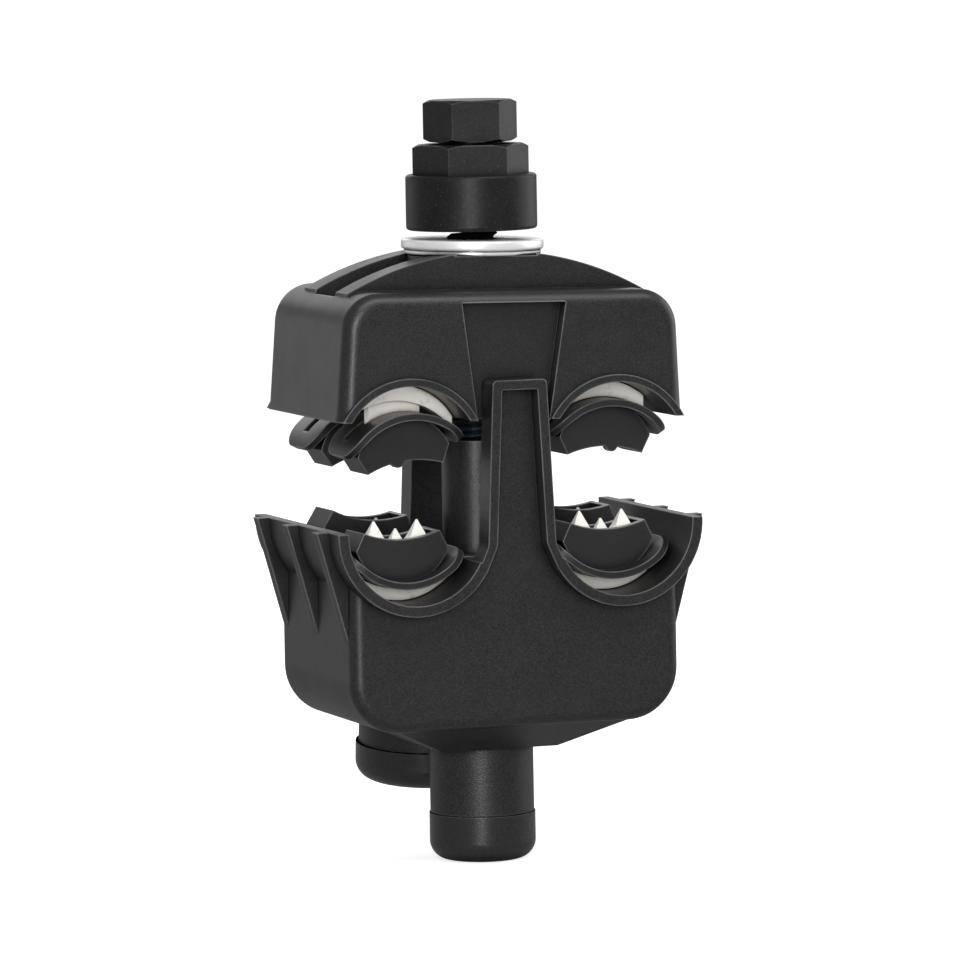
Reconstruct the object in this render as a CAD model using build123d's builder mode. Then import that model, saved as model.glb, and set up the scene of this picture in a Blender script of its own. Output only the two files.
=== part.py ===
from build123d import *

import math
import os

# Insulation piercing connector for two insulated conductors that lie side by side along Y.
# Millimetres, +Z up, bolt axis on Z, origin midway between the open jaws, front towards -Y.

# Driving dimensions: bolt stack
bolt_diameter = 10.0
thread_pitch = 1.5
closing_turns = 5.5
nut_across_flats = 16.0
nut_height = 8.0
drive_hex_across_flats = 16.0
drive_hex_height = 8.1
release_hex_across_flats = 19.8
release_hex_height = 5.8
hex_chamfer = 0.6
head_turn = -12.0
collar_edge_radius = 0.7
neck_diameter = 12.5
neck_height = 0.5
collar_diameter = 25.6
collar_height = 10.8
bolt_head_height = 6.4
head_lift = 1.8
washer_diameter = 27.8
washer_thickness = 2.0
washer_chamfer = 0.4
backing_washer_diameter = 26.8
backing_washer_thickness = 0.9

# Driving dimensions: grooves that the conductors lie in
groove_x = 21.2
groove_radius = 14.0
lower_groove_z = -6.4
upper_groove_z = 7.2
lip_z = -5.9

# Driving dimensions: lower half
lower_half_width = 33.7
lower_half_depth = 21.5
lower_bottom_z = -45.4
lower_corner_radius = 10.2
lower_edge_radius = 2.4
web_top_z = -12.6
rim_band = 2.1
rim_proud = 3.9
step_x = 9.5
post_top_z = 22.2
post_top_half_width = 5.5
post_foot_half_width = 6.95
post_flare_z = -9.6
post_flare_half_width = 9.2
post_flare_radius = 3.0
post_rail = 1.9
post_top_radius = 0.9
post_panel = 1.6
fin_pitch = 18.0
fin_thickness = 2.6
fin_reach = 39.7
fin_foot_z = -27.8
fin_knee_x = 36.8
fin_knee_z = -16.1
sleeve_diameter = 13.6
sleeve_top_z = 9.2
hull_half_length = 11.9
hull_half_width = 10.8
hull_drop = 5.3
tube_diameter = 20.4
tube_end_z = -64.0
cap_lap = 4.0
cap_proud = 0.2
cap_wall = 1.2
bolt_cap_depth = 9.3
cap_edge_radius = 3.8
park_diameter = 27.2
park_y = 32.0
park_top_z = -32.0
park_end_z = -53.6
park_tilt = 5.0
park_cap_depth = 7.6
park_cap_proud = 0.6

# Driving dimensions: upper half
upper_half_depth = 22.4
upper_bottom_z = 14.4
upper_foot_half_width = 35.5
upper_low_half_width = 35.2
upper_flare_z = 16.1
upper_top_half_width = 33.8
shoulder_z = 31.5
shoulder_radius = 7.5
face_edge_radius = 2.8
upper_band = 1.5
upper_band_proud = 0.8
arch_top_z = 46.4
arch_end_x = 30.6
arch_end_z = 38.5
arch_half_depth = 12.6
seat_diameter = 30.0
slot_half_width = 6.0
slot_floor_z = 36.0
slot_end_overrun = 0.3
slot_corner_radius = 0.6
boss_diameter = 26.0
seat_z = 45.4
channel_top_z = 36.9
channel_top_half_width = 10.6
channel_foot_half_width = 7.35
upper_half_tilt = 1.2
upper_half_pivot_z = 25.0

# Driving dimensions: contacts and boots
blade_y = 11.9
blade_thickness = 2.5
blade_neck_half_width = 5.2
plate_outer_reach = 8.8
plate_inner_reach = 11.6
plate_thickness = 4.0
blade_head_slope = 1.0
tooth_pitch = 4.4
tooth_base = 3.2
tooth_tip = 0.3
lower_tooth_height = 3.0
lower_tooth_z = 6.5
lower_outer_rise = 1.6
upper_tooth_height = 2.2
upper_tooth_z = 8.5
upper_outer_rise = 0.5
boot_front_y = 16.0
boot_back_y = 5.6
boot_mouth_z = 6.8
boot_mouth_half_width = 7.7
boot_mouth_sag = 1.5
boot_waist_drop = 3.5
boot_waist_half_width = 9.4
boot_depth = 10.1
boot_wall = 1.6
boot_end_wall = 0.9
boot_floor = 0.8
flange_centre_z = 3.0
flange_radius = 14.7
flange_thickness = 1.4
flange_half_angle = 57.0
flange_corner_radius = 5.0
flange_slot_half_width = 10.0
flange_front_y = 20.0
flange_back_y = 4.1
pip_radius = 1.3
pip_reach = 1.1
pip_offset = 1.4
loose_boot_tilt = 7.5
loose_boot_drop = 2.0
raised_boot_lift = 2.0
raised_boot_tilt = 6.0
rear_tooth_drop = 1.6

# Clearances
seat_gap = 0.2
slide_gap = 0.3
thread_gap = 0.05
cap_gap = 0.05
bore_gap = 0.5
boot_slot_gap = 0.8
bolt_end_room = 3.0

# Places that follow from the driving dimensions
closing_stroke = closing_turns * thread_pitch
rim_y = lower_half_depth + rim_proud
post_back_y = lower_half_depth - post_panel
channel_floor_y = post_back_y - slide_gap
hull_bottom_z = lower_bottom_z - hull_drop
nut_top_z = lower_bottom_z + nut_height / 4
nut_bottom_z = nut_top_z - nut_height
bolt_bore = bolt_diameter + 2 * bore_gap
bolt_cap_bottom_z = tube_end_z - bolt_cap_depth
bolt_end_z = bolt_cap_bottom_z + cap_wall + bolt_end_room + closing_stroke
washer_bottom_z = seat_z + backing_washer_thickness
washer_top_z = washer_bottom_z + washer_thickness
collar_bottom_z = washer_top_z + head_lift
release_hex_z = collar_bottom_z + collar_height
neck_z = release_hex_z + release_hex_height
drive_hex_z = neck_z + neck_height
flange_edge_z = flange_centre_z + flange_radius
sleeve_pocket_z = sleeve_top_z + closing_stroke + 2 * slide_gap
blade_half_width = tooth_pitch + tooth_base / 2
web_slot_half_width = groove_x - blade_half_width
park_spigot_radius = park_diameter / 2 + cap_proud - cap_wall
park_plane = Plane(origin=(0, park_y, park_end_z)).rotated((park_tilt, 0, 0))

# Sketch planes that look at the front and at the rear of the connector
front = Plane.XZ
rear = Plane(origin=(0, 0, 0), x_dir=(-1, 0, 0), z_dir=(0, 1, 0))

# The upper half hangs a little askew on the bolt, its right side low, with all that rests in it
upper_pivot = Location((0, 0, upper_half_pivot_z))
askew = upper_pivot * Location((0, 0, 0), (0, upper_half_tilt, 0)) * upper_pivot.inverse()
washer_shift = (upper_half_pivot_z - seat_z) * math.sin(math.radians(upper_half_tilt))
washer_place = askew * Location((washer_shift, 0, 0))

written = []


def keep(piece, label):
    """Labels a finished piece and writes it."""
    piece.label = label
    export_step(piece, f"parts/{label}.step")
    written.append(label)


os.makedirs("parts", exist_ok=True)

# Lower housing: block, trough shells, front and rear cheeks with their posts, fins, sleeve and tubes
with BuildPart() as lower_housing:
    with BuildSketch(Plane.XZ) as block_section:
        with Locations((0, web_top_z)):
            Rectangle(2 * lower_half_width, web_top_z - lower_bottom_z, align=(Align.CENTER, Align.MAX))
        fillet(block_section.vertices().group_by(Axis.Y)[0], lower_corner_radius)
    extrude(amount=lower_half_depth, both=True)
    outline = lower_housing.faces().filter_by(Axis.Y).edges()
    fillet([edge for edge in outline if edge.center().Z < web_top_z - 1], lower_edge_radius)

    # Guide sleeve round the bolt
    with BuildSketch(Plane.XY.offset(web_top_z - 1)):
        Circle(sleeve_diameter / 2)
    extrude(amount=sleeve_top_z - web_top_z + 1)

    # Hull under the block, and the tube that the bolt's end runs in
    with BuildSketch(Plane.XY.offset(lower_bottom_z)):
        Rectangle(2 * (lower_half_width - lower_corner_radius), 2 * (lower_half_depth - lower_edge_radius))
    with BuildSketch(Plane.XY.offset(hull_bottom_z)):
        Rectangle(2 * hull_half_length, 2 * hull_half_width)
    loft()
    with BuildSketch(Plane.XY.offset(tube_end_z)):
        Circle(tube_diameter / 2)
    extrude(amount=lower_bottom_z - tube_end_z)

    # Parking boss for the conductor end cap, tilted back behind the block
    with BuildSketch(park_plane):
        Circle(park_diameter / 2)
    extrude(amount=park_top_z - park_end_z)
    with BuildSketch(park_plane.offset(-cap_lap)):
        Circle(park_spigot_radius)
    extrude(amount=cap_lap)

    # Troughs' shells, with a strip that runs from each lip down to the foot of the post
    with BuildSketch(Plane.XZ):
        for side in (-1, 1):
            with Locations((side * groove_x, lower_groove_z)):
                Circle(groove_radius + rim_band)
        with Locations((0, lip_z)):
            Rectangle(4 * groove_x, 4 * groove_radius, align=(Align.CENTER, Align.MIN), mode=Mode.SUBTRACT)
        with Locations((0, web_top_z)):
            Rectangle(2 * step_x, 4 * groove_radius, align=(Align.CENTER, Align.MIN), mode=Mode.SUBTRACT)
        with Locations((0, web_top_z)):
            Rectangle(2 * step_x, rim_band, align=(Align.CENTER, Align.MAX))
    extrude(amount=rim_y, both=True)

    # Fins under the lips
    with BuildSketch(*(Plane.XZ.offset(place * fin_pitch) for place in (-1, 0, 1))):
        with BuildLine():
            foot = Line((lower_half_width - 0.1, fin_foot_z), (fin_knee_x, fin_knee_z))
            lip = TangentArc(foot @ 1, (fin_reach, lip_z), tangent=foot % 1)
            Polyline(lip @ 1, (groove_x + groove_radius, lip_z), (lower_half_width - 4, fin_knee_z), foot @ 0)
        make_face()
        mirror(about=Plane.YZ)
    extrude(amount=fin_thickness / 2, both=True)

    # Posts that guide the upper half
    post_foot_z = web_top_z - rim_band
    with BuildSketch(front.offset(post_back_y), rear.offset(post_back_y)) as posts:
        with BuildLine():
            Polyline(
                (-post_flare_half_width, post_foot_z),
                (-post_foot_half_width, post_flare_z),
                (-post_top_half_width, post_top_z),
                (post_top_half_width, post_top_z),
                (post_foot_half_width, post_flare_z),
                (post_flare_half_width, post_foot_z),
                close=True,
            )
        make_face()
        fillet(posts.vertices().group_by(Axis.Y)[-1], post_top_radius)
        fillet(posts.vertices().group_by(Axis.Y)[1], post_flare_radius)
    extrude(amount=rim_y - post_back_y)

    # Recess between the rails of each post, level with the block's face
    with BuildSketch(front.offset(lower_half_depth), rear.offset(lower_half_depth)) as recesses:
        with BuildLine():
            Polyline(
                (post_rail - post_flare_half_width, post_foot_z),
                (post_rail - post_foot_half_width, post_flare_z),
                (post_rail - post_top_half_width, post_top_z - post_rail),
                (post_top_half_width - post_rail, post_top_z - post_rail),
                (post_foot_half_width - post_rail, post_flare_z),
                (post_flare_half_width - post_rail, post_foot_z),
                close=True,
            )
        make_face()
        fillet(recesses.vertices().group_by(Axis.Y)[1], post_flare_radius)
    extrude(amount=2 * rim_proud, mode=Mode.SUBTRACT)

    # Troughs
    with BuildSketch(Plane.XZ):
        for side in (-1, 1):
            with Locations((side * groove_x, lower_groove_z)):
                Circle(groove_radius)
    extrude(amount=rim_y + 1, both=True, mode=Mode.SUBTRACT)

    # Bolt passage, and the six-sided bore that the nut is pushed up
    with BuildSketch(Plane.XY.offset(tube_end_z)):
        RegularPolygon(nut_across_flats / 2, 6, major_radius=False)
    extrude(amount=nut_top_z - tube_end_z, mode=Mode.SUBTRACT)
    with BuildSketch(Plane.XY.offset(nut_top_z)):
        Circle(bolt_bore / 2)
    extrude(amount=sleeve_top_z - nut_top_z, mode=Mode.SUBTRACT)

    # Slots across the web for the contacts
    with BuildSketch(front.offset(blade_y), rear.offset(blade_y)):
        with Locations((0, lower_groove_z - groove_radius)):
            Rectangle(2 * web_slot_half_width, 2 * groove_radius, align=(Align.CENTER, Align.MIN))
    extrude(amount=blade_thickness / 2 + seat_gap, both=True, mode=Mode.SUBTRACT)
keep(lower_housing.part, "lower_housing")

# Rib block that carries the bolt's seat
with BuildPart() as rib_block:
    with BuildSketch(Plane.XZ):
        with BuildLine():
            crown = ThreePointArc((-arch_end_x, arch_end_z), (0, arch_top_z), (arch_end_x, arch_end_z))
            Polyline(crown @ 1, (arch_end_x, shoulder_z), (-arch_end_x, shoulder_z), crown @ 0)
        make_face()
    extrude(amount=arch_half_depth, both=True)
    with BuildSketch(Plane.XY.offset(seat_z)):
        Circle(seat_diameter / 2)
    extrude(amount=arch_top_z, mode=Mode.SUBTRACT)

# Upper housing: rounded block, rib block, post channels and arched grooves
with BuildPart() as upper_housing:
    with BuildSketch(Plane.XZ) as shoulder_section:
        with BuildLine():
            Polyline(
                (0, upper_bottom_z),
                (upper_foot_half_width, upper_bottom_z),
                (upper_low_half_width, upper_flare_z),
                (upper_top_half_width, shoulder_z + shoulder_radius),
                (0, shoulder_z + shoulder_radius),
                close=True,
            )
        make_face()
        mirror(about=Plane.YZ)
        fillet(shoulder_section.vertices().group_by(Axis.Y)[-1], shoulder_radius)
    extrude(amount=upper_half_depth, both=True)
    outline = upper_housing.faces().filter_by(Axis.Y).edges()
    fillet([edge for edge in outline if edge.center().Z > upper_bottom_z + 0.5], face_edge_radius)
    add(rib_block.part)

    # Slots between the ribs, one on each side of the central boss
    with BuildSketch(Plane.XY.offset(slot_floor_z)):
        RectangleRounded(2 * (arch_end_x + slot_end_overrun), 2 * slot_half_width, slot_corner_radius)
        Circle(boss_diameter / 2, mode=Mode.SUBTRACT)
    extrude(amount=arch_top_z, mode=Mode.SUBTRACT)

    # Raised bands round the groove mouths
    with BuildSketch(front.offset(upper_half_depth - face_edge_radius)) as bands:
        for side in (-1, 1):
            with Locations((side * groove_x, upper_groove_z)):
                Circle(groove_radius + upper_band)
        with Locations((0, upper_bottom_z)):
            Rectangle(8 * groove_x, 4 * groove_radius, align=(Align.CENTER, Align.MAX), mode=Mode.SUBTRACT)
    extrude(amount=face_edge_radius + upper_band_proud)
    extrude(bands.sketch.mirror(Plane.XZ), amount=face_edge_radius + upper_band_proud)

    # Grooves
    with BuildSketch(Plane.XZ):
        for side in (-1, 1):
            with Locations((side * groove_x, upper_groove_z)):
                Circle(groove_radius)
    extrude(amount=upper_half_depth + 2 * upper_band_proud, both=True, mode=Mode.SUBTRACT)

    # Channels that the posts slide in
    with BuildSketch(front.offset(channel_floor_y), rear.offset(channel_floor_y)):
        with BuildLine():
            Polyline(
                (-channel_foot_half_width, upper_bottom_z),
                (-channel_top_half_width, channel_top_z),
                (channel_top_half_width, channel_top_z),
                (channel_foot_half_width, upper_bottom_z),
                close=True,
            )
        make_face()
    extrude(amount=upper_half_depth, mode=Mode.SUBTRACT)

    # Pocket for the guide sleeve, and the bolt's bore
    with BuildSketch(Plane.XY.offset(upper_bottom_z)):
        Circle(sleeve_diameter / 2 + slide_gap)
    extrude(amount=sleeve_pocket_z - upper_bottom_z, mode=Mode.SUBTRACT)
    with BuildSketch(Plane.XY.offset(sleeve_pocket_z)):
        Circle(bolt_bore / 2)
    extrude(amount=arch_top_z - sleeve_pocket_z, mode=Mode.SUBTRACT)

    # Slots across the web for the contacts
    with BuildSketch(front.offset(blade_y), rear.offset(blade_y)):
        with Locations((0, upper_groove_z + groove_radius)):
            Rectangle(2 * web_slot_half_width, 2 * groove_radius, align=(Align.CENTER, Align.MAX))
    extrude(amount=blade_thickness / 2 + seat_gap, both=True, mode=Mode.SUBTRACT)
keep(upper_housing.part.moved(askew), "upper_housing")

# Shear head: round collar, release hexagon, shear neck and drive hexagon
with BuildPart() as shear_head:
    with BuildSketch(Plane.XY.offset(collar_bottom_z)):
        Circle(collar_diameter / 2)
    extrude(amount=collar_height)
    fillet(shear_head.faces().filter_by(Axis.Z).edges(), collar_edge_radius)
    with BuildSketch(Plane.XY.offset(release_hex_z)):
        RegularPolygon(release_hex_across_flats / 2, 6, major_radius=False, rotation=head_turn)
    extrude(amount=release_hex_height)
    with BuildSketch(Plane.XY.offset(neck_z)):
        Circle(neck_diameter / 2)
    extrude(amount=neck_height)
    with BuildSketch(Plane.XY.offset(drive_hex_z)):
        RegularPolygon(drive_hex_across_flats / 2, 6, major_radius=False, rotation=head_turn)
    extrude(amount=drive_hex_height)

    # Turned outline that chamfers the corners of both hexagons
    head_top_z = drive_hex_z + drive_hex_height
    release_corner = release_hex_across_flats / math.sqrt(3)
    drive_corner = drive_hex_across_flats / math.sqrt(3)
    with BuildSketch(Plane.XZ):
        with BuildLine():
            Polyline(
                (0, collar_bottom_z),
                (collar_diameter / 2, collar_bottom_z),
                (collar_diameter / 2, release_hex_z),
                (release_corner, release_hex_z),
                (release_corner, neck_z - hex_chamfer),
                (release_corner - 2 * hex_chamfer, neck_z),
                (neck_diameter / 2, neck_z),
                (neck_diameter / 2, drive_hex_z),
                (drive_corner - 2 * hex_chamfer, drive_hex_z),
                (drive_corner, drive_hex_z + hex_chamfer),
                (drive_corner, head_top_z - hex_chamfer),
                (drive_corner - 2 * hex_chamfer, head_top_z),
                (0, head_top_z),
                close=True,
            )
        make_face()
    revolve(axis=Axis.Z, mode=Mode.INTERSECT)

    # Socket that holds the bolt's own head
    with BuildSketch(Plane.XY.offset(collar_bottom_z)):
        RegularPolygon(nut_across_flats / 2, 6, major_radius=False, rotation=head_turn)
    extrude(amount=bolt_head_height, mode=Mode.SUBTRACT)
keep(shear_head.part, "shear_head")

# Clamp bolt with its own head, which sits in the shear head's socket
with BuildPart() as clamp_bolt:
    with BuildSketch(Plane.XY.offset(bolt_end_z)):
        Circle(bolt_diameter / 2)
    extrude(amount=collar_bottom_z - bolt_end_z)
    chamfer(clamp_bolt.edges().group_by(Axis.Z)[0], thread_pitch / 2)
    with BuildSketch(Plane.XY.offset(collar_bottom_z)):
        RegularPolygon(nut_across_flats / 2, 6, major_radius=False, rotation=head_turn)
    extrude(amount=bolt_head_height)
keep(clamp_bolt.part, "clamp_bolt")

# Washers between the head and the upper housing
with BuildPart() as backing_washer:
    with BuildSketch(Plane.XY.offset(seat_z)):
        Circle(backing_washer_diameter / 2)
        Circle(bolt_bore / 2, mode=Mode.SUBTRACT)
    extrude(amount=backing_washer_thickness)
keep(backing_washer.part.moved(washer_place), "backing_washer")

with BuildPart() as flat_washer:
    with BuildSketch(Plane.XY.offset(washer_bottom_z)):
        Circle(washer_diameter / 2)
        Circle(bolt_bore / 2, mode=Mode.SUBTRACT)
    extrude(amount=washer_thickness)
    chamfer(flat_washer.edges().group_by(Axis.Z)[-1].sort_by(SortBy.RADIUS)[-1], washer_chamfer)
keep(flat_washer.part.moved(washer_place), "flat_washer")

# Nut at the top of the six-sided bore
with BuildPart() as captive_nut:
    with BuildSketch(Plane.XY.offset(nut_bottom_z)):
        RegularPolygon(nut_across_flats / 2, 6, major_radius=False)
        Circle(bolt_diameter / 2 + thread_gap, mode=Mode.SUBTRACT)
    extrude(amount=nut_height)
keep(captive_nut.part, "captive_nut")

# Plug that closes the tube below the bolt
with BuildPart() as bolt_end_cap:
    with BuildSketch(Plane.XY.offset(bolt_cap_bottom_z)):
        Circle(tube_diameter / 2 + cap_proud)
    extrude(amount=bolt_cap_depth)
    fillet(bolt_end_cap.edges().group_by(Axis.Z)[0], cap_edge_radius)
    with BuildSketch(Plane.XY.offset(tube_end_z)):
        Circle(nut_across_flats / 2 - cap_gap)
    extrude(amount=cap_lap)
    with BuildSketch(Plane.XY.offset(bolt_cap_bottom_z + cap_wall)):
        Circle(bolt_bore / 2 + cap_wall)
    extrude(amount=bolt_cap_depth + cap_lap, mode=Mode.SUBTRACT)
keep(bolt_end_cap.part, "bolt_end_cap")

# Cap for a cut conductor end, parked on its boss
with BuildPart() as conductor_end_cap:
    with BuildSketch(park_plane.offset(-park_cap_depth)):
        Circle(park_diameter / 2 + park_cap_proud)
    extrude(amount=park_cap_depth)
    fillet(conductor_end_cap.edges().group_by(Axis.Z)[0], cap_edge_radius)
    with BuildSketch(park_plane.offset(cap_wall - park_cap_depth)):
        Circle(park_spigot_radius + cap_gap)
    extrude(amount=park_cap_depth, mode=Mode.SUBTRACT)
keep(conductor_end_cap.part, "conductor_end_cap")


def contact(groove_z, web_z, middle_tip_z, outer_tip_z, tooth_height):
    """Makes a front contact of the lower half: a blade across the web that ends in teeth in both grooves."""
    with BuildPart() as piece:
        # Plates between each boot's flange and the groove wall
        with BuildSketch(Plane.XZ.offset(blade_y)):
            for side in (-1, 1):
                with Locations((side * groove_x, groove_z)):
                    Circle(groove_radius - seat_gap)
            for side in (-1, 1):
                with Locations((side * groove_x, -flange_centre_z)):
                    Circle(flange_radius + seat_gap, mode=Mode.SUBTRACT)
            for side in (-1, 1):
                with Locations((side * (groove_x + plate_outer_reach + groove_radius / 2), groove_z)):
                    Rectangle(groove_radius, 4 * groove_radius, mode=Mode.SUBTRACT)
            Rectangle(2 * (groove_x - plate_inner_reach), 8 * groove_radius, mode=Mode.SUBTRACT)
            with Locations((0, groove_z + groove_radius)):
                Rectangle(8 * groove_x, 2 * groove_radius, mode=Mode.SUBTRACT)
        extrude(amount=plate_thickness / 2, both=True)

        # Bridge through the web, hollowed where the flanges pass over it
        with BuildSketch(Plane.XZ.offset(blade_y)):
            with Locations((0, groove_z - groove_radius + seat_gap)):
                Rectangle(
                    2 * (web_slot_half_width - seat_gap),
                    web_z - groove_z + groove_radius - 2 * seat_gap,
                    align=(Align.CENTER, Align.MIN),
                )
            for side in (-1, 1):
                with Locations((side * groove_x, -flange_centre_z)):
                    Circle(flange_radius + seat_gap, mode=Mode.SUBTRACT)
        extrude(amount=blade_thickness / 2, both=True)

        # Necks through the boots, and the heads that carry the teeth
        with BuildSketch(Plane.XZ.offset(blade_y)):
            neck_foot_z = -flange_centre_z - flange_radius - seat_gap
            for side in (-1, 1):
                with BuildLine(Location((side * groove_x, 0))):
                    Polyline(
                        (-blade_neck_half_width, neck_foot_z - seat_gap),
                        (blade_neck_half_width, neck_foot_z - seat_gap),
                        (blade_neck_half_width, outer_tip_z - tooth_height - blade_head_slope),
                        (blade_half_width, outer_tip_z - tooth_height),
                        (tooth_pitch - tooth_base / 2, outer_tip_z - tooth_height),
                        (tooth_base / 2, middle_tip_z - tooth_height),
                        (-tooth_base / 2, middle_tip_z - tooth_height),
                        (tooth_base / 2 - tooth_pitch, outer_tip_z - tooth_height),
                        (-blade_half_width, outer_tip_z - tooth_height),
                        (-blade_neck_half_width, outer_tip_z - tooth_height - blade_head_slope),
                        close=True,
                    )
                make_face()
        extrude(amount=blade_thickness / 2, both=True)

        # Teeth
        for side in (-1, 1):
            for place in (-1, 0, 1):
                tip_z = middle_tip_z if place == 0 else outer_tip_z
                at = (side * groove_x + place * tooth_pitch, -blade_y)
                with BuildSketch(Plane.XY.offset(tip_z - tooth_height)):
                    with Locations(at):
                        Rectangle(tooth_base, blade_thickness)
                with BuildSketch(Plane.XY.offset(tip_z)):
                    with Locations(at):
                        Rectangle(tooth_tip, tooth_tip)
                loft()
    return piece.part


lower_front_contact, lower_rear_contact = (
    contact(lower_groove_z, web_top_z, tip_z, tip_z + lower_outer_rise, lower_tooth_height)
    for tip_z in (-lower_tooth_z, -lower_tooth_z - rear_tooth_drop)
)
upside_down = contact(
    -upper_groove_z, -upper_bottom_z, -upper_tooth_z, upper_outer_rise - upper_tooth_z, upper_tooth_height
)
upper_contact = mirror(upside_down, about=Plane.XY)
keep(lower_front_contact, "lower_front_contact")
keep(mirror(lower_rear_contact, about=Plane.XZ), "lower_rear_contact")
keep(upper_contact.moved(askew), "upper_front_contact")
keep(mirror(upper_contact, about=Plane.XZ).moved(askew), "upper_rear_contact")

# Boot of the right front lower contact end: a box round the teeth on a curved flange
with BuildPart() as boot:
    waist_z = -boot_mouth_z - boot_waist_drop
    foot_z = -boot_mouth_z - boot_depth
    with BuildSketch(Plane.XZ.offset(boot_back_y)):
        with BuildLine():
            mouth = ThreePointArc(
                (groove_x - boot_mouth_half_width, -boot_mouth_z),
                (groove_x, -boot_mouth_z - boot_mouth_sag),
                (groove_x + boot_mouth_half_width, -boot_mouth_z),
            )
            right_end = Line(mouth @ 1, (groove_x + boot_waist_half_width, waist_z))
            left_waist = (groove_x - boot_waist_half_width, waist_z)
            bottom = ThreePointArc(right_end @ 1, (groove_x, foot_z), left_waist)
            Line(bottom @ 1, mouth @ 0)
        make_face()
    extrude(amount=boot_front_y - boot_back_y)
    with BuildSketch(Plane.XZ.offset(flange_back_y)):
        with Locations((groove_x, -flange_centre_z)):
            Circle(flange_radius)
            Circle(flange_radius - flange_thickness, mode=Mode.SUBTRACT)
        with BuildLine(Location((groove_x, -flange_centre_z))):
            reach = 2 * flange_radius
            spread = math.radians(flange_half_angle)
            Polyline(
                (0, 0),
                (-reach * math.sin(spread), -reach * math.cos(spread)),
                (reach * math.sin(spread), -reach * math.cos(spread)),
                close=True,
            )
        make_face(mode=Mode.INTERSECT)
    extrude(amount=flange_front_y - flange_back_y)

    corners = [edge for edge in boot.edges() if abs(edge.length - flange_thickness) < 1e-3]
    fillet(corners, flange_corner_radius)

    # Room for the teeth, open at the mouth
    with BuildSketch(Plane.XZ.offset(boot_back_y + boot_wall)):
        with BuildLine():
            slope = (boot_waist_half_width - boot_mouth_half_width) / boot_waist_drop
            inner_mouth = boot_mouth_half_width - boot_end_wall - slope * boot_wall
            inner_waist = boot_waist_half_width - boot_end_wall
            top_z = boot_wall - boot_mouth_z
            Line((groove_x - inner_waist, waist_z), (groove_x - inner_mouth, top_z))
            Line((groove_x - inner_mouth, top_z), (groove_x + inner_mouth, top_z))
            Line((groove_x + inner_mouth, top_z), (groove_x + inner_waist, waist_z))
            ThreePointArc(
                (groove_x + inner_waist, waist_z),
                (groove_x, foot_z + boot_floor),
                (groove_x - inner_waist, waist_z),
            )
        make_face()
    extrude(amount=boot_front_y - boot_back_y - 2 * boot_wall, mode=Mode.SUBTRACT)

    # Long slot in the flange, which the plate of a loose boot is seen through
    with BuildSketch(Plane.XZ.offset(blade_y)):
        with Locations((groove_x, -flange_centre_z)):
            Circle(flange_radius + seat_gap)
            Circle(flange_radius - flange_thickness, mode=Mode.SUBTRACT)
        with Locations((groove_x, -flange_centre_z)):
            Rectangle(
                2 * flange_slot_half_width,
                2 * flange_radius,
                align=(Align.CENTER, Align.MAX),
                mode=Mode.INTERSECT,
            )
    extrude(amount=blade_thickness / 2 + seat_gap, both=True, mode=Mode.SUBTRACT)

    # Slot that the blade comes through
    with BuildSketch(Plane.XZ.offset(blade_y)):
        with Locations((groove_x, waist_z)):
            Rectangle(
                2 * (blade_neck_half_width + boot_slot_gap),
                flange_radius,
                align=(Align.CENTER, Align.MAX),
            )
    extrude(amount=blade_thickness / 2 + seat_gap, both=True, mode=Mode.SUBTRACT)

# Upper boot: the same with a pip on the front wall of its mouth
with BuildPart() as pipped_boot:
    add(boot.part)
    with BuildSketch(Plane.XZ.offset(boot_front_y - boot_wall)):
        with Locations((groove_x + pip_offset, pip_reach - pip_radius - boot_mouth_z - boot_mouth_sag)):
            Circle(pip_radius)
    extrude(amount=boot_wall)


def leaning(pivot_x, pivot_z, rise, tilt):
    """Gives the move that lifts a boot by rise and tilts it about a line along Y."""
    pivot = Location((pivot_x, 0, pivot_z))
    return Location((0, 0, rise)) * pivot * Location((0, 0, 0), (0, tilt, 0)) * pivot.inverse()


# The two upper left boots hang loose, and the two lower rear ones stand a little out of their troughs
loose = leaning(-groove_x, flange_edge_z, -loose_boot_drop, -loose_boot_tilt)
raised = {
    "left": leaning(-groove_x, -flange_edge_z, raised_boot_lift, raised_boot_tilt),
    "right": leaning(groove_x, -flange_edge_z, raised_boot_lift, raised_boot_tilt),
}

# The same boots in the eight places
for level in ("lower", "upper"):
    for side in ("right", "left"):
        for end in ("front", "rear"):
            placed = boot.part if level == "lower" else pipped_boot.part
            if level == "upper":
                placed = mirror(placed, about=Plane.XY)
            if side == "left":
                placed = mirror(placed, about=Plane.YZ)
            if end == "rear":
                placed = mirror(placed, about=Plane.XZ)
            if level == "upper" and side == "left":
                placed = placed.moved(loose)
            if level == "lower" and end == "rear":
                placed = placed.moved(raised[side])
            if level == "upper":
                placed = placed.moved(askew)
            keep(placed, f"{level}_{side}_{end}_boot")

print(len(written), "pieces")
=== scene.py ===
"""Insulation piercing connector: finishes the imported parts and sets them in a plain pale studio.

Every length is in metres, in the frame of the solid model: +Z up along the bolt, the front towards -Y.
"""

import math

import bpy
from bpy.props import FloatProperty, FloatVectorProperty, PointerProperty
from mathutils import Matrix, Vector


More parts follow.
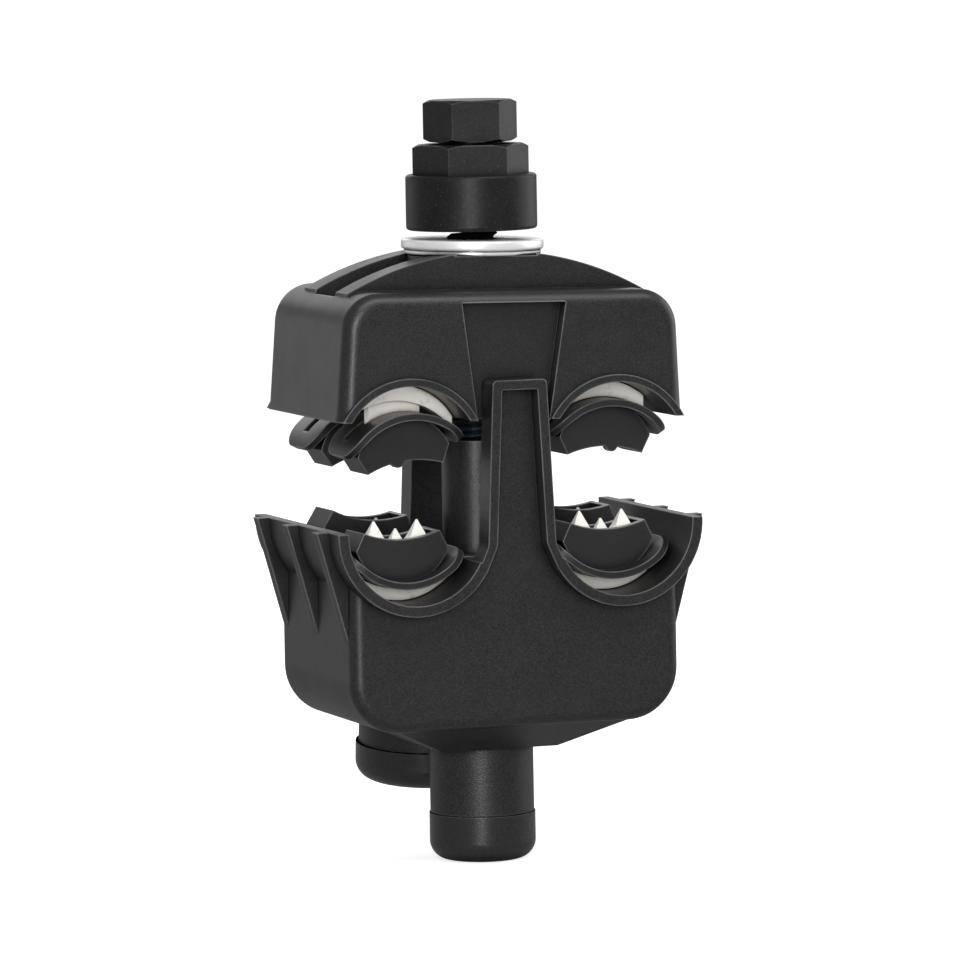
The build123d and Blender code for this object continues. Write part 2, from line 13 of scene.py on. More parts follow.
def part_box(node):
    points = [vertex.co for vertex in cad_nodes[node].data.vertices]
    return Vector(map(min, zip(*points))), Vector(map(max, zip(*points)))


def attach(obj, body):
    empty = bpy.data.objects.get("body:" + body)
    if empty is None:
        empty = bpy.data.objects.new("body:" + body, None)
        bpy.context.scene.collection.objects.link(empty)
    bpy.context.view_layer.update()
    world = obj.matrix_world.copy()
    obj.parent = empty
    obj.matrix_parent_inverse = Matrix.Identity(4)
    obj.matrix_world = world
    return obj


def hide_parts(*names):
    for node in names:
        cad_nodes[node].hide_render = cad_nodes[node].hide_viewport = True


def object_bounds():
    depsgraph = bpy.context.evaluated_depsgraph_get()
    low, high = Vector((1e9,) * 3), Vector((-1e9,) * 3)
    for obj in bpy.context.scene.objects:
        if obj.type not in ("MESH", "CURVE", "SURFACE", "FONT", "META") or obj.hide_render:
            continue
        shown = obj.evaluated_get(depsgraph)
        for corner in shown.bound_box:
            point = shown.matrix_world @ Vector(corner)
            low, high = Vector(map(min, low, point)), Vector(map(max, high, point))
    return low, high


bl_info = {
    "name": "Piercing Connector",
    "version": (1, 0, 0),
    "blender": (4, 5, 0),
    "location": "View3D > Sidebar > Connector",
    "description": "Dresses a bolted insulation piercing connector and its studio",
    "category": "Add Mesh",
}

MM = 0.001

# Sizes and angles that the boxes of the solids don't give
BOLT_RADIUS = 5.0 * MM
BOLT_HEAD_ACROSS_FLATS = 16.0 * MM
BOLT_HEAD_BEVEL = 0.5 * MM
HEAD_TURN = math.radians(-12)
BOLT_CAP_LAP = 4.0 * MM
CONDUCTOR_CAP_TILT = math.radians(5)
BETWEEN_CAPS_Y = 16.0 * MM

# Vertices closer than this are one vertex
SAME_PLACE = 0.002 * MM

# Steps round a washer and round a turn of the thread, and samples of the edge masks
RING_STEPS = 96
THREAD_STEPS = 40
EDGE_SAMPLES = 6

WHITE = (1.0, 1.0, 1.0, 1.0)
FLOOR_COLOUR = (0.86, 0.86, 0.86, 1.0)
FLOOR_SIZE = 40.0
UNLIT_BLACK = (0.002, 0.002, 0.002, 1.0)

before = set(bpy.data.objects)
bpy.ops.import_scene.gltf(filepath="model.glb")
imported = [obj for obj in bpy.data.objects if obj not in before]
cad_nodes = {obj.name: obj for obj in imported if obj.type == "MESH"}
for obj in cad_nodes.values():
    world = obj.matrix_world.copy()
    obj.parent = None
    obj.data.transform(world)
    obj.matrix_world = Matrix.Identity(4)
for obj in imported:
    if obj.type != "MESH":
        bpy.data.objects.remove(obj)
cad_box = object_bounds()


def corners(node):
    """Lowest and highest corner of a solid."""
    low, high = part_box(node)
    return Vector(low), Vector(high)


def heading(azimuth, elevation):
    """Unit vector that points the given angles to the right of the front and up."""
    level = math.cos(elevation)
    return Vector((math.sin(azimuth) * level, -math.cos(azimuth) * level, math.sin(elevation)))


class FinishSettings(bpy.types.PropertyGroup):
    """Colours and surface finishes."""

    housing_colour: FloatVectorProperty(
        name="Housing", description="Glass-filled nylon of both halves", subtype="COLOR", size=3,
        min=0, max=1, default=(0.0045, 0.0045, 0.0047),
    )
    boot_colour: FloatVectorProperty(
        name="Boots", description="Smoother plastic of the boots over the teeth", subtype="COLOR", size=3,
        min=0, max=1, default=(0.011, 0.011, 0.0114),
    )
    cap_colour: FloatVectorProperty(
        name="Caps", description="Soft plastic of the two end caps", subtype="COLOR", size=3,
        min=0, max=1, default=(0.009, 0.009, 0.0093),
    )
    head_colour: FloatVectorProperty(
        name="Shear head", description="Black coated metal of the head", subtype="COLOR", size=3,
        min=0, max=1, default=(0.006, 0.006, 0.0063),
    )
    zinc_colour: FloatVectorProperty(
        name="Zinc", description="Bright zinc plating of the washers", subtype="COLOR", size=3,
        min=0, max=1, default=(0.9, 0.9, 0.9),
    )
    steel_colour: FloatVectorProperty(
        name="Bolt", description="Plated steel of the bolt and the nut", subtype="COLOR", size=3,
        min=0, max=1, default=(0.2, 0.25, 0.28),
    )
    tin_colour: FloatVectorProperty(
        name="Contacts", description="Tin plating of the contacts", subtype="COLOR", size=3,
        min=0, max=1, default=(0.98, 0.96, 0.9),
    )
    # Brown of the tarnish patches, also used as painted shade in the contacts' inner corners
    tarnish_and_shade_colour: FloatVectorProperty(
        name="Tarnish", description="Tarnished metal at the contacts' edges", subtype="COLOR", size=3,
        min=0, max=1, default=(0.24, 0.13, 0.05),
    )
    edge_radius: FloatProperty(
        name="Edge radius", description="Rounding that moulded edges show", subtype="DISTANCE", unit="LENGTH",
        min=0, default=0.28 * MM,
    )
    grain_size: FloatProperty(
        name="Grain size", description="Spacing of the moulded grain", subtype="DISTANCE", unit="LENGTH",
        min=0, default=0.22 * MM,
    )
    rim_radius: FloatProperty(
        name="Washer rims", description="Rounding of the washers' rims", subtype="DISTANCE", unit="LENGTH",
        min=0, default=0.55 * MM,
    )
    washer_height: FloatProperty(
        name="Washer thickness", description="Thickness of the bright washer", subtype="DISTANCE",
        unit="LENGTH", min=0, default=2.0 * MM,
    )
    thin_washer_height: FloatProperty(
        name="Thin washer", description="Thickness of the washer below it", subtype="DISTANCE", unit="LENGTH",
        min=0, default=0.9 * MM,
    )
    washer_hole: FloatProperty(
        name="Washer hole", description="Radius of the washers' hole", subtype="DISTANCE", unit="LENGTH",
        min=0, default=5.4 * MM,
    )
    washer_tilt: FloatProperty(
        name="Washer tilt", description="How far the washers lie askew with the upper half", subtype="ANGLE",
        default=math.radians(1.2),
    )
    thread_pitch: FloatProperty(
        name="Thread pitch", description="Pitch of the bolt's thread", subtype="DISTANCE", unit="LENGTH",
        min=0.5 * MM, default=1.5 * MM,
    )
    thread_depth: FloatProperty(
        name="Thread depth", description="Depth of the bolt's thread", subtype="DISTANCE", unit="LENGTH",
        min=0, default=0.92 * MM,
    )


class StageSettings(bpy.types.PropertyGroup):
    """Camera and lamps."""

    azimuth: FloatProperty(
        name="Azimuth", description="Camera direction round the bolt", subtype="ANGLE",
        default=math.radians(-20),
    )
    elevation: FloatProperty(
        name="Elevation", description="Height of the camera's line of sight", subtype="ANGLE",
        default=math.radians(4.95),
    )
    distance: FloatProperty(
        name="Distance", description="Camera to the middle of the view", subtype="DISTANCE", unit="LENGTH",
        default=1.4,
    )
    lens: FloatProperty(
        name="Lens", description="Focal length on the 36 mm sensor", default=268.8,
    )
    aside: FloatProperty(
        name="Aside", description="How far right of the bolt the camera looks", subtype="DISTANCE",
        unit="LENGTH", default=0.71 * MM,
    )
    height: FloatProperty(
        name="Height", description="Height at the middle of the view", subtype="DISTANCE", unit="LENGTH",
        default=1.0 * MM,
    )
    lean: FloatProperty(
        name="Lean", description="Turn of the camera about its line of sight", subtype="ANGLE",
        default=math.radians(1.04),
    )
    left_power: FloatProperty(
        name="Left lamp", description="Power of the soft box behind at the left", subtype="POWER",
        unit="POWER", default=0.6,
    )
    right_power: FloatProperty(
        name="Right lamp", description="Power of the soft box at the right", subtype="POWER", unit="POWER",
        default=3.3,
    )
    strip_power: FloatProperty(
        name="Strip lamp", description="Power of the narrow lamp in front", subtype="POWER", unit="POWER",
        default=11.0,
    )
    back_power: FloatProperty(
        name="Back lamp", description="Power of the soft box behind", subtype="POWER", unit="POWER",
        default=1.0,
    )
    top_power: FloatProperty(
        name="Top lamp", description="Power of the overhead soft box", subtype="POWER", unit="POWER",
        default=4.0,
    )
    room_light: FloatProperty(
        name="Room light", description="Strength of the pale surroundings", default=0.4,
    )
    floor_glow: FloatProperty(
        name="Floor glow", description="Brightness that the floor adds to its lit colour for the camera",
        default=0.7,
    )
    room_gloss: FloatProperty(
        name="Room in reflections", description="Brightness of the surroundings in glossy surfaces",
        default=0.3,
    )


# Shader building


class Wire:
    """A socket's output. Arithmetic on wires adds Math nodes to the same material."""

    def __init__(self, finish, socket):
        self.finish = finish
        self.socket = socket

    def math(self, operation, first, second, clamp=False):
        """Adds a Math node."""
        return self.finish.node("Math", {"operation": operation, "use_clamp": clamp}, {0: first, 1: second})

    def __add__(self, other):
        return self.math("ADD", self, other)

    __radd__ = __add__

    def __sub__(self, other):
        return self.math("SUBTRACT", self, other)

    def __rsub__(self, other):
        return self.math("SUBTRACT", other, self)

    def __mul__(self, other):
        return self.math("MULTIPLY", self, other)

    __rmul__ = __mul__

    def __truediv__(self, other):
        return self.math("DIVIDE", self, other)

    def clamp(self):
        """Keeps the value between 0 and 1."""
        return self.math("ADD", self, 0.0, clamp=True)

    def higher(self, other):
        """The higher of two values."""
        return self.math("MAXIMUM", self, other)

    def unsigned(self):
        """The value without its sign."""
        return self.higher(0.0 - self)


class Finish:
    """A material under construction."""

    def __init__(self, name):
        self.material = bpy.data.materials.new(name)
        self.material.use_nodes = True
        self.tree = self.material.node_tree
        self.tree.nodes.clear()
        self.object_place = self.node("TexCoord", output="Object")

    def node(self, kind, settings=None, inputs=None, output=0):
        """Adds a shader node, sets its settings and its sockets, and returns one output."""
        made = self.tree.nodes.new("ShaderNode" + kind)
        for key, value in (settings or {}).items():
            setattr(made, key, value)
        for key, value in (inputs or {}).items():
            if isinstance(value, Wire):
                self.tree.links.new(value.socket, made.inputs[key])
            else:
                made.inputs[key].default_value = value
        return Wire(self, made.outputs[output])

    def noise(self, size, detail=2.0, rough=0.5, place=None):
        """Noise with features of the given size in metres."""
        return self.node(
            "TexNoise",
            None,
            {"Vector": place or self.object_place, "Scale": 1 / size, "Detail": detail, "Roughness": rough},
            "Fac",
        )

    def blend(self, amount, first, second):
        """Mixes two colours."""
        colours = [value if isinstance(value, Wire) else (*value, 1.0) for value in (first, second)]
        factor, first_colour, second_colour, mixed_colour = 0, 6, 7, 2
        return self.node(
            "Mix",
            {"data_type": "RGBA"},
            {factor: amount, first_colour: colours[0], second_colour: colours[1]},
            mixed_colour,
        )

    def soft_edges(self, radius):
        """Normal with its edges rounded."""
        return self.node("Bevel", {"samples": EDGE_SAMPLES}, {"Radius": radius})

    def outer_edges(self, reach):
        """Mask that is 1 on edges that stand out, where a pale highlight is painted."""
        depth = self.node(
            "AmbientOcclusion",
            {"samples": EDGE_SAMPLES, "inside": True, "only_local": True},
            {"Distance": reach},
            "AO",
        )
        return ((1.0 - depth) * 3.0 - 0.5).clamp()

    def creases(self, reach):
        """Mask that is 1 in grooves and inner corners, where little light comes."""
        open_sky = self.node("AmbientOcclusion", {"samples": EDGE_SAMPLES}, {"Distance": reach}, "AO")
        return ((1.0 - open_sky) * 1.6 - 0.2).clamp()

    def bump(self, height, depth, normal):
        """Normal with a relief of the given depth in metres."""
        return self.node("Bump", None, {"Height": height, "Distance": depth, "Normal": normal})

    def end(self, shader):
        """Ends the material with a shader."""
        output = self.tree.nodes.new("ShaderNodeOutputMaterial")
        self.tree.links.new(shader.socket, output.inputs["Surface"])
        return self.material

    def surface(self, painted_shade_and_seams, sockets):
        """Ends the material with a Principled surface, mixed to black diffuse where the mask is 1: painted
        shade in creases, and dark seams.
        """
        shader = self.node("BsdfPrincipled", None, sockets, "BSDF")
        # The black diffuse is the painted shade
        black = self.node("BsdfDiffuse", None, {"Color": UNLIT_BLACK})
        return self.end(self.node("MixShader", None, {0: painted_shade_and_seams, 1: shader, 2: black}))


def moulded_plastic(name, colour, look, roughness, depth, edge_light, grainy, seam=None):
    """Moulded plastic: fine grain, faint flow marks, painted highlights on outer edges and black painted
    shade in inner corners.

    The relief of the grain has the given depth in metres, edge_light says how pale the painted edge
    highlights are and grainy how much the grain is dusted. A seam is a function that gives a mask of black
    gaps.
    """
    finish = Finish(name)
    radius = look.edge_radius
    grain = look.grain_size
    fine = finish.noise(grain, 0.0)
    speck = finish.noise(0.7 * grain, 1.0)
    broad = finish.noise(9 * MM, 3.0, 0.55)
    flow = finish.noise(27 * MM, 2.0)
    pale = tuple(2.0 * part + 0.002 for part in colour)
    dusty = tuple(2.5 * part + 0.014 for part in colour)
    # Painted highlight: outer edges go paler than the plastic
    painted_edge_light = tuple(edge_light * part + 0.02 for part in colour)
    cloud = (flow * 0.5 + broad * 0.5 - 0.3).clamp()
    shade = finish.blend(cloud * 0.7, colour, pale)
    shade = finish.blend(((speck + fine) * 2.0 - 1.6).clamp() * grainy, shade, dusty)
    shade = finish.blend(finish.outer_edges(1.5 * radius) * (broad * 2.4 - 0.35).clamp(), shade, painted_edge_light)
    # Painted shade: creases and inner corners go black, and so do the seams' gaps
    painted_shade_and_seams = finish.creases(2.4 * MM) * 0.75
    if seam:
        painted_shade_and_seams = painted_shade_and_seams.higher(seam(finish))
    return finish.surface(
        painted_shade_and_seams,
        {
            "Base Color": shade,
            "Roughness": roughness - 0.08 + broad * 0.12 + fine * 0.08,
            "Normal": finish.bump(fine + speck * 0.5 + broad * 2.0, depth, finish.soft_edges(radius)),
        },
    )


def coated_metal(name, colour, radius):
    """Black coated head: satin with fine dust, cloudy sheen, painted highlights on its outer edges and black
    painted shade in its inner corners.
    """
    finish = Finish(name)
    speck = finish.noise(0.4 * MM, 1.0)
    fine = finish.noise(0.8 * MM, 0.0)
    broad = finish.noise(5 * MM, 4.0, 0.6)
    pale = tuple(2.6 * part + 0.02 for part in colour)
    # Painted highlight: the head's outer edges go pale
    painted_corner_light = tuple(8.0 * part + 0.08 for part in colour)
    dust = ((speck - 0.62) * 9.0).clamp()
    shade = finish.blend(dust * 0.6, colour, pale)
    shade = finish.blend((broad * 1.4 - 0.4).clamp() * 0.25, shade, pale)
    shade = finish.blend(finish.outer_edges(1.4 * radius) * (0.35 + broad * 0.8).clamp(), shade, painted_corner_light)
    # Painted shade: the head's inner corners go black
    return finish.surface(
        finish.creases(2.0 * MM) * 0.75,
        {
            "Base Color": shade,
            "Roughness": 0.32 + broad * 0.12 + fine * 0.06,
            "Normal": finish.bump(speck * 0.5 + fine + broad * 2.0, 0.015 * MM, finish.soft_edges(radius)),
            "Specular IOR Level": 0.22,
        },
    )


def plated_metal(name, colour, stain_and_shade, patch_and_shade_share, metal, roughness, radius, shade_reach, streaks=1.0):
    """Plated metal: clouding, fine scratches, dull spots, patches of stain and painted shade in inner
    corners.

    Corners within shade_reach metres of another surface get black painted shade, and streaks above 1 flatten
    the scratches.
    """
    finish = Finish(name)
    cloud = finish.noise(2.6 * MM, 4.0, 0.6)
    fine = finish.noise(0.25 * MM, 2.0, 0.5)
    stretched = finish.node("Mapping", None, {"Vector": finish.object_place, "Scale": (1.0, 1.0, streaks)})
    scratch = finish.noise(0.7 * MM, 3.0, 0.6, stretched)
    spots = ((cloud - 0.56) * 5.0).clamp()
    dull = tuple(0.84 * part for part in colour)
    shade = finish.blend(spots * 0.5 + ((scratch - 0.55) * 4.0).clamp() * 0.35, colour, dull)
    # Painted shade: inner corners blend towards the stain colour; on the tin contacts that brown is partly
    # tarnish too. The patches are stain at random
    painted_crevice_shade = (finish.creases(1.3 * MM) * 1.3 * (0.2 + cloud * 1.3)).clamp()
    patches = ((cloud - 0.58) * 6.0).clamp() * 0.3
    shade = finish.blend(((painted_crevice_shade + patches) * patch_and_shade_share).clamp(), shade, stain_and_shade)
    # Painted shade: black within the given reach of another surface
    return finish.surface(
        finish.creases(shade_reach) * 0.8,
        {
            "Base Color": shade,
            "Metallic": metal,
            "Roughness": roughness + cloud * 0.16 + spots * 0.14,
            "Normal": finish.bump(fine * 0.4 + scratch + cloud, 0.01 * MM, finish.soft_edges(radius)),
        },
    )


def cap_seams(finish):
    """Mask that is 1 in the thin gaps where the two end caps meet the lower half."""
    half_gap = 0.16 * MM
    height = finish.node("SeparateXYZ", None, {"Vector": finish.object_place}, "Z")
    back = finish.node("SeparateXYZ", None, {"Vector": finish.object_place}, "Y")
    cosine, sine = math.cos(CONDUCTOR_CAP_TILT), math.sin(CONDUCTOR_CAP_TILT)
    bolt_cap_top = corners("bolt_end_cap")[1].z - BOLT_CAP_LAP
    conductor_cap_high = corners("conductor_end_cap")[1]
    conductor_cap_top = conductor_cap_high.z * cosine - conductor_cap_high.y * sine
    masks = []
    for above, behind in (
        (height - bolt_cap_top, BETWEEN_CAPS_Y - back),
        (height * cosine - back * sine - conductor_cap_top, back - BETWEEN_CAPS_Y),
    ):
        masks.append(((half_gap - above.unsigned()) * (8 / MM)).clamp() * (behind / MM).clamp())
    return (masks[0] + masks[1]).clamp()


# Mesh helpers


def rest():
    """Deselects everything."""
    if bpy.context.object and bpy.context.object.mode != "OBJECT":
        bpy.ops.object.mode_set(mode="OBJECT")
    bpy.ops.object.select_all(action="DESELECT")


def hold(piece):
    """Makes one object the only selected and active one."""
    rest()
    piece.select_set(True)
    bpy.context.view_layer.objects.active = piece
    return piece


def paint(piece, material):
    """Gives a new piece its material."""
    piece.data.materials.clear()
    piece.data.materials.append(material)


def edit(piece):
    """Opens one object in edit mode with all of it selected."""
    hold(piece)
    bpy.ops.object.mode_set(mode="EDIT")
    bpy.ops.mesh.select_all(action="SELECT")


def close_up(piece, smooth_angle):
    """Joins doubles, turns the faces outwards, applies the place and smooths the piece."""
    edit(piece)
    bpy.ops.mesh.remove_doubles(threshold=SAME_PLACE)
    bpy.ops.mesh.normals_make_consistent(inside=False)
    bpy.ops.object.mode_set(mode="OBJECT")
    bpy.ops.object.transform_apply(location=True, rotation=True, scale=True)
    bpy.ops.object.shade_smooth_by_angle(angle=smooth_angle)
    return piece


def applied(piece, kind, **settings):
    """Adds a modifier, sets it and applies it."""
    hold(piece)
    modifier = piece.modifiers.new(kind.title(), kind)
    for key, value in settings.items():
        setattr(modifier, key, value)
    bpy.ops.object.modifier_apply(modifier=modifier.name)


def upright_square(name, width, height, middle):
    """A square standing in the XZ plane, as the section that a turned piece starts from."""
    rest()
    bpy.ops.mesh.primitive_plane_add(size=1.0, location=(0, 0, 0))
    piece = bpy.context.active_object
    piece.name = name
    edit(piece)
    bpy.ops.transform.rotate(
        value=math.pi / 2, orient_axis="X", orient_type="GLOBAL", center_override=(0, 0, 0)
    )
    bpy.ops.transform.resize(value=(width, 1, height), center_override=(0, 0, 0))
    bpy.ops.transform.translate(value=(middle[0], 0, middle[1]))
    return piece


def turned_ring(name, inner, outer, height, rounding, tilt, middle, material):
    """A ring with rounded rims: its section with bevelled corners is spun, tilted about Y and moved up."""
    piece = upright_square(name, outer - inner, height, ((inner + outer) / 2, 0))
    bpy.ops.mesh.bevel(offset=rounding, segments=4, affect="VERTICES")
    bpy.ops.mesh.delete(type="ONLY_FACE")
    bpy.ops.mesh.select_all(action="SELECT")
    bpy.ops.mesh.spin(steps=RING_STEPS, angle=2 * math.pi, center=(0, 0, 0), axis=(0, 0, 1))
    bpy.ops.mesh.select_all(action="SELECT")
    bpy.ops.transform.rotate(value=-tilt, orient_axis="Y", orient_type="GLOBAL", center_override=(0, 0, 0))
    bpy.ops.transform.translate(value=middle)
    close_up(piece, math.radians(35))
    paint(piece, material)
    return piece


def threaded_shank(name, foot, top, pitch, depth):
    """A threaded rod of whole turns: one V of the thread is screwed up from the foot, then its ends close."""
    # A square on its corner, without the corner that lies towards the axis
    shank = upright_square(name, math.sqrt(2), math.sqrt(2), (0, 0))
    bpy.ops.transform.rotate(
        value=math.pi / 4, orient_axis="Y", orient_type="GLOBAL", center_override=(0, 0, 0)
    )
    bpy.ops.transform.resize(value=(depth, 1, pitch / 2), center_override=(0, 0, 0))
    bpy.ops.transform.translate(value=(BOLT_RADIUS - depth, 0, foot + pitch / 2))
    bpy.ops.object.mode_set(mode="OBJECT")
    inmost = min(shank.data.vertices, key=lambda point: point.co.x).index
    edit(shank)
    bpy.ops.mesh.select_all(action="DESELECT")
    bpy.ops.object.mode_set(mode="OBJECT")
    shank.data.vertices[inmost].select = True
    bpy.ops.object.mode_set(mode="EDIT")
    bpy.ops.mesh.select_mode(type="VERT")
    bpy.ops.mesh.delete(type="VERT")
    bpy.ops.object.mode_set(mode="OBJECT")
    applied(
        shank, "SCREW", angle=2 * math.pi, screw_offset=pitch, iterations=int((top - foot) / pitch),
        steps=THREAD_STEPS, render_steps=THREAD_STEPS, use_merge_vertices=True, merge_threshold=SAME_PLACE,
    )
    edit(shank)
    bpy.ops.mesh.remove_doubles(threshold=SAME_PLACE)
    bpy.ops.mesh.select_all(action="DESELECT")
    bpy.ops.mesh.select_non_manifold(
        extend=False, use_wire=False, use_boundary=True, use_multi_face=False, use_non_contiguous=False,
        use_verts=False,
    )
    bpy.ops.mesh.fill_holes(sides=0)
    bpy.ops.object.mode_set(mode="OBJECT")
    return shank


def dress(nodes, material):
    """Gives CAD nodes a finish."""
    for node in nodes:
        target = cad_nodes[node]
        if not target.material_slots:
            target.data.materials.append(material)
        for slot in target.material_slots:
            slot.material = material


# Studio


def pale_floor(stage):
    """A floor that the camera sees white around the object's shadow, and reflections see dim."""
    rest()
    bpy.ops.mesh.primitive_plane_add(size=FLOOR_SIZE, location=(0, 0, cad_box[0][2]))
    floor = bpy.context.active_object
    floor.name = "studio_floor"
    bpy.ops.object.transform_apply(location=True, rotation=True, scale=True)
    finish = Finish("floor_white")
    seen = finish.node("LightPath", output="Is Camera Ray")
    shiny = finish.node("LightPath", output="Is Glossy Ray")
    through = finish.node("LightPath", output="Is Transmission Ray")
    share = (seen + through).clamp() * stage.floor_glow
    diffuse = finish.node("BsdfDiffuse", None, {"Color": FLOOR_COLOUR})
    glow = finish.node("Emission", None, {"Color": WHITE, "Strength": share})
    lit = finish.node("AddShader", None, {0: diffuse, 1: glow})
    mirrored = finish.node("Emission", None, {"Color": WHITE, "Strength": stage.room_gloss})
    paint(floor, finish.end(finish.node("MixShader", None, {0: shiny, 1: lit, 2: mirrored})))


def pale_world(stage):
    """Surroundings that are white to the camera, and dimmer as light and in reflections."""
    world = bpy.data.worlds.new("studio_world")
    bpy.context.scene.world = world
    world.use_nodes = True
    tree = world.node_tree
    tree.nodes.clear()
    path = tree.nodes.new("ShaderNodeLightPath")
    end = tree.nodes.new("ShaderNodeOutputWorld")
    shown = None
    for strength, ray in (
        (stage.room_light, None),
        (stage.room_gloss, "Is Glossy Ray"),
        (1.0, "Is Camera Ray"),
        (1.0, "Is Transmission Ray"),
    ):
        light = tree.nodes.new("ShaderNodeBackground")
        light.inputs["Color"].default_value = WHITE
        light.inputs["Strength"].default_value = strength
        if shown is None:
            shown = light
            continue
        mix = tree.nodes.new("ShaderNodeMixShader")
        tree.links.new(path.outputs[ray], mix.inputs[0])
        tree.links.new(shown.outputs[0], mix.inputs[1])
        tree.links.new(light.outputs[0], mix.inputs[2])
        shown = mix
    tree.links.new(shown.outputs[0], end.inputs["Surface"])


def soft_lamps(stage):
    """Soft boxes that look at the middle of the view."""
    # Degrees round the bolt and up, distance, width and height in metres, power
    for name, azimuth, elevation, reach, width, height, power in (
        ("left_lamp", -145, -8, 0.9, 0.6, 0.6, stage.left_power),
        ("right_lamp", 95, 10, 0.9, 0.8, 0.8, stage.right_power),
        ("strip_lamp", -22, 4, 1.2, 0.1, 0.8, stage.strip_power),
        ("back_lamp", 165, 18, 1.0, 0.9, 0.2, stage.back_power),
        ("top_lamp", 8, 60, 0.8, 0.9, 0.4, stage.top_power),
    ):
        toward = heading(math.radians(azimuth), math.radians(elevation))
        rest()
        bpy.ops.object.light_add(type="AREA", location=Vector((0, 0, stage.height)) + reach * toward)
        lamp = bpy.context.active_object
        lamp.name = name
        lamp.data.shape = "RECTANGLE"
        lamp.data.size = width
        lamp.data.size_y = height
        lamp.data.energy = power
        lamp.rotation_euler = toward.to_track_quat("Z", "Y").to_euler()


def photo_camera(stage):
    """The camera at the photo's angle, leaning about its line of sight."""
    toward = heading(stage.azimuth, stage.elevation)
    right = Vector((math.cos(stage.azimuth), math.sin(stage.azimuth), 0))
    up = toward.cross(right)
    turn = Matrix.Rotation(-stage.lean, 3, toward)
    rest()
    bpy.ops.object.camera_add(
        location=Vector((0, 0, stage.height)) + stage.distance * toward + stage.aside * right
    )
    camera = bpy.context.active_object
    camera.name = "photo_camera"
    camera.rotation_euler = (turn @ Matrix((right, up, toward)).transposed()).to_euler()
    camera.data.sensor_width = 36.0
    camera.data.lens = stage.lens
    camera.data.clip_start = 0.01
    camera.data.clip_end = 60.0
    bpy.context.scene.camera = camera


# Operators


class CONNECTOR_OT_housings(bpy.types.Operator):
    """Finish both halves of the housing in grained black nylon"""

    bl_idname = "connector.housings"
    bl_label = "Housings"

    def execute(self, context):
        look = context.scene.connector_finish
        nylon = moulded_plastic(
            "housing_nylon", look.housing_colour, look, roughness=0.36, depth=0.028 * MM, edge_light=28.0,
            grainy=0.9, seam=cap_seams,
        )
        dress(["lower_housing", "upper_housing"], nylon)
        return {"FINISHED"}


class CONNECTOR_OT_boots(bpy.types.Operator):
    """Finish the boots over the teeth"""

    bl_idname = "connector.boots"
    bl_label = "Boots"

    def execute(self, context):
        look = context.scene.connector_finish
        plastic = moulded_plastic(
            "boot_plastic", look.boot_colour, look, roughness=0.32, depth=0.004 * MM, edge_light=14.0, grainy=0.2,
        )
        dress([node for node in cad_nodes if node.endswith("_boot")], plastic)
        return {"FINISHED"}


class CONNECTOR_OT_contacts(bpy.types.Operator):
    """Finish the tinned contacts: brown patches of tarnish, and brown painted shade, partly tarnish, in their
    inner corners
    """

    bl_idname = "connector.contacts"
    bl_label = "Contacts"

    def execute(self, context):
        look = context.scene.connector_finish
        # Brown tarnish in patches, and brown painted shade in the inner corners
        tin = plated_metal(
            "tin_plating", look.tin_colour, stain_and_shade=look.tarnish_and_shade_colour, patch_and_shade_share=0.9, metal=0.1, roughness=0.28,
            radius=0.2 * MM, shade_reach=0.4 * MM,
        )
        dress([node for node in cad_nodes if node.endswith("_contact")], tin)
        return {"FINISHED"}


class CONNECTOR_OT_bolt(bpy.types.Operator):
    """Cut the bolt's thread and finish the bolt, its nut and the shear head"""

    bl_idname = "connector.bolt"
    bl_label = "Bolt and head"

    def execute(self, context):
        look = context.scene.connector_finish
        # Near-black painted shade in the corners, and black painted shade within 5 mm of other surfaces
        steel = plated_metal(
            "bolt_steel", look.steel_colour, stain_and_shade=(0.03, 0.03, 0.03), patch_and_shade_share=0.8, metal=0.9, roughness=0.22,
            radius=0.08 * MM, shade_reach=5 * MM, streaks=6.0,
        )
        low, high = corners("clamp_bolt")
        shank_top = corners("shear_head")[0].z
        shank = threaded_shank("threaded_bolt", low.z, shank_top, look.thread_pitch, look.thread_depth)

        # The bolt's own head, inside the shear head
        rest()
        bpy.ops.mesh.primitive_cylinder_add(
            vertices=6, radius=BOLT_HEAD_ACROSS_FLATS / 2 / math.cos(math.pi / 6), depth=high.z - shank_top,
            location=(0, 0, (high.z + shank_top) / 2), rotation=(0, 0, HEAD_TURN + math.pi / 6),
        )
        hexagon = context.active_object
        applied(hexagon, "BEVEL", width=BOLT_HEAD_BEVEL, segments=2)
        rest()
        hexagon.select_set(True)
        shank.select_set(True)
        context.view_layer.objects.active = shank
        bpy.ops.object.join()
        close_up(shank, math.radians(30))
        paint(shank, steel)
        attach(shank, "bolt")
        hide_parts("clamp_bolt")

        dress(["captive_nut"], steel)
        dress(["shear_head"], coated_metal("black_coating", look.head_colour, look.edge_radius))
        return {"FINISHED"}


class CONNECTOR_OT_washers(bpy.types.Operator):
    """Turn the two washers with rounded rims"""

    bl_idname = "connector.washers"
    bl_label = "Washers"

    def execute(self, context):
        look = context.scene.connector_finish
        for node, name, height, shade_reach in (
            ("flat_washer", "zinc_washer", look.washer_height, 0.5 * MM),
            ("backing_washer", "thin_washer", look.thin_washer_height, 2.5 * MM),
        ):
            # Grey painted shade in the corners and black painted shade within the given reach; grey stain in
            # random patches
            zinc = plated_metal(
                name + "_plating", look.zinc_colour, stain_and_shade=(0.2, 0.2, 0.2), patch_and_shade_share=0.6, metal=0.5,
                roughness=0.24, radius=0.2 * MM, shade_reach=shade_reach, streaks=5.0,
            )
            low, high = corners(node)
            rim = (high.y - low.y) / 2
            ring = turned_ring(
                name, look.washer_hole, rim, height, min(look.rim_radius, 0.4 * height), look.washer_tilt,
                (low + high) / 2, zinc,
            )
            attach(ring, "upper_half")
            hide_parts(node)
        return {"FINISHED"}


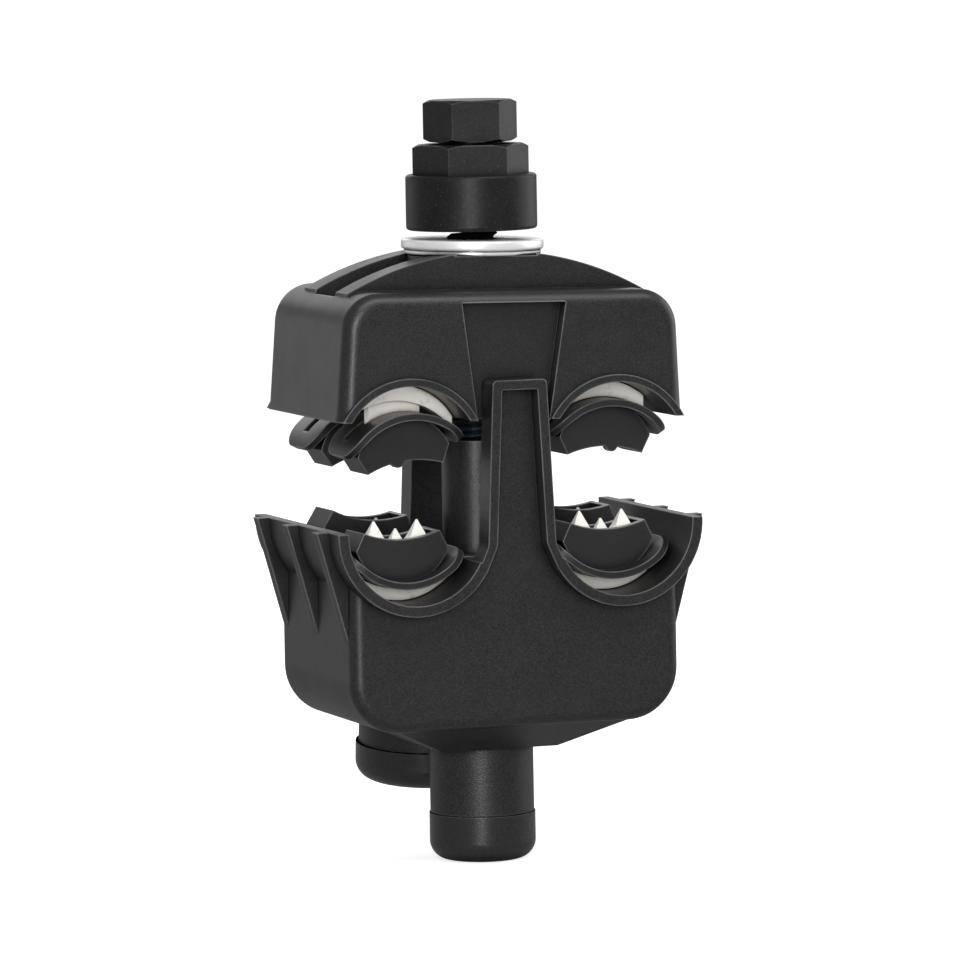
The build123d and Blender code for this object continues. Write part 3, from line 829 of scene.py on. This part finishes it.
class CONNECTOR_OT_caps(bpy.types.Operator):
    """Finish the two end caps"""

    bl_idname = "connector.caps"
    bl_label = "End caps"

    def execute(self, context):
        look = context.scene.connector_finish
        plastic = moulded_plastic(
            "cap_plastic", look.cap_colour, look, roughness=0.28, depth=0.014 * MM, edge_light=12.0, grainy=0.4,
            seam=cap_seams,
        )
        dress(["bolt_end_cap", "conductor_end_cap"], plastic)
        return {"FINISHED"}


class CONNECTOR_OT_stage(bpy.types.Operator):
    """Set the pale floor, the soft lamps and the camera"""

    bl_idname = "connector.stage"
    bl_label = "Studio"

    def execute(self, context):
        stage = context.scene.connector_stage
        pale_floor(stage)
        pale_world(stage)
        soft_lamps(stage)
        photo_camera(stage)
        context.scene.view_settings.view_transform = "Standard"
        return {"FINISHED"}


class CONNECTOR_PT_panel(bpy.types.Panel):
    """Buttons for the connector's pieces"""

    bl_idname = "CONNECTOR_PT_panel"
    bl_label = "Piercing connector"
    bl_space_type = "VIEW_3D"
    bl_region_type = "UI"
    bl_category = "Connector"

    def draw(self, context):
        for operator in PIECES:
            self.layout.operator(operator.bl_idname)
        for settings in (context.scene.connector_finish, context.scene.connector_stage):
            column = self.layout.column()
            for name in settings.__annotations__:
                column.prop(settings, name)


PIECES = (
    CONNECTOR_OT_housings,
    CONNECTOR_OT_boots,
    CONNECTOR_OT_contacts,
    CONNECTOR_OT_bolt,
    CONNECTOR_OT_washers,
    CONNECTOR_OT_caps,
    CONNECTOR_OT_stage,
)
CLASSES = (FinishSettings, StageSettings, *PIECES, CONNECTOR_PT_panel)


def register():
    for made in CLASSES:
        bpy.utils.register_class(made)
    bpy.types.Scene.connector_finish = PointerProperty(type=FinishSettings)
    bpy.types.Scene.connector_stage = PointerProperty(type=StageSettings)


def unregister():
    del bpy.types.Scene.connector_stage
    del bpy.types.Scene.connector_finish
    for made in reversed(CLASSES):
        bpy.utils.unregister_class(made)


def main():
    register()
    rest()
    for operator in PIECES:
        group, name = operator.bl_idname.split(".")
        getattr(getattr(bpy.ops, group), name)()


if __name__ == "__main__":
    main()
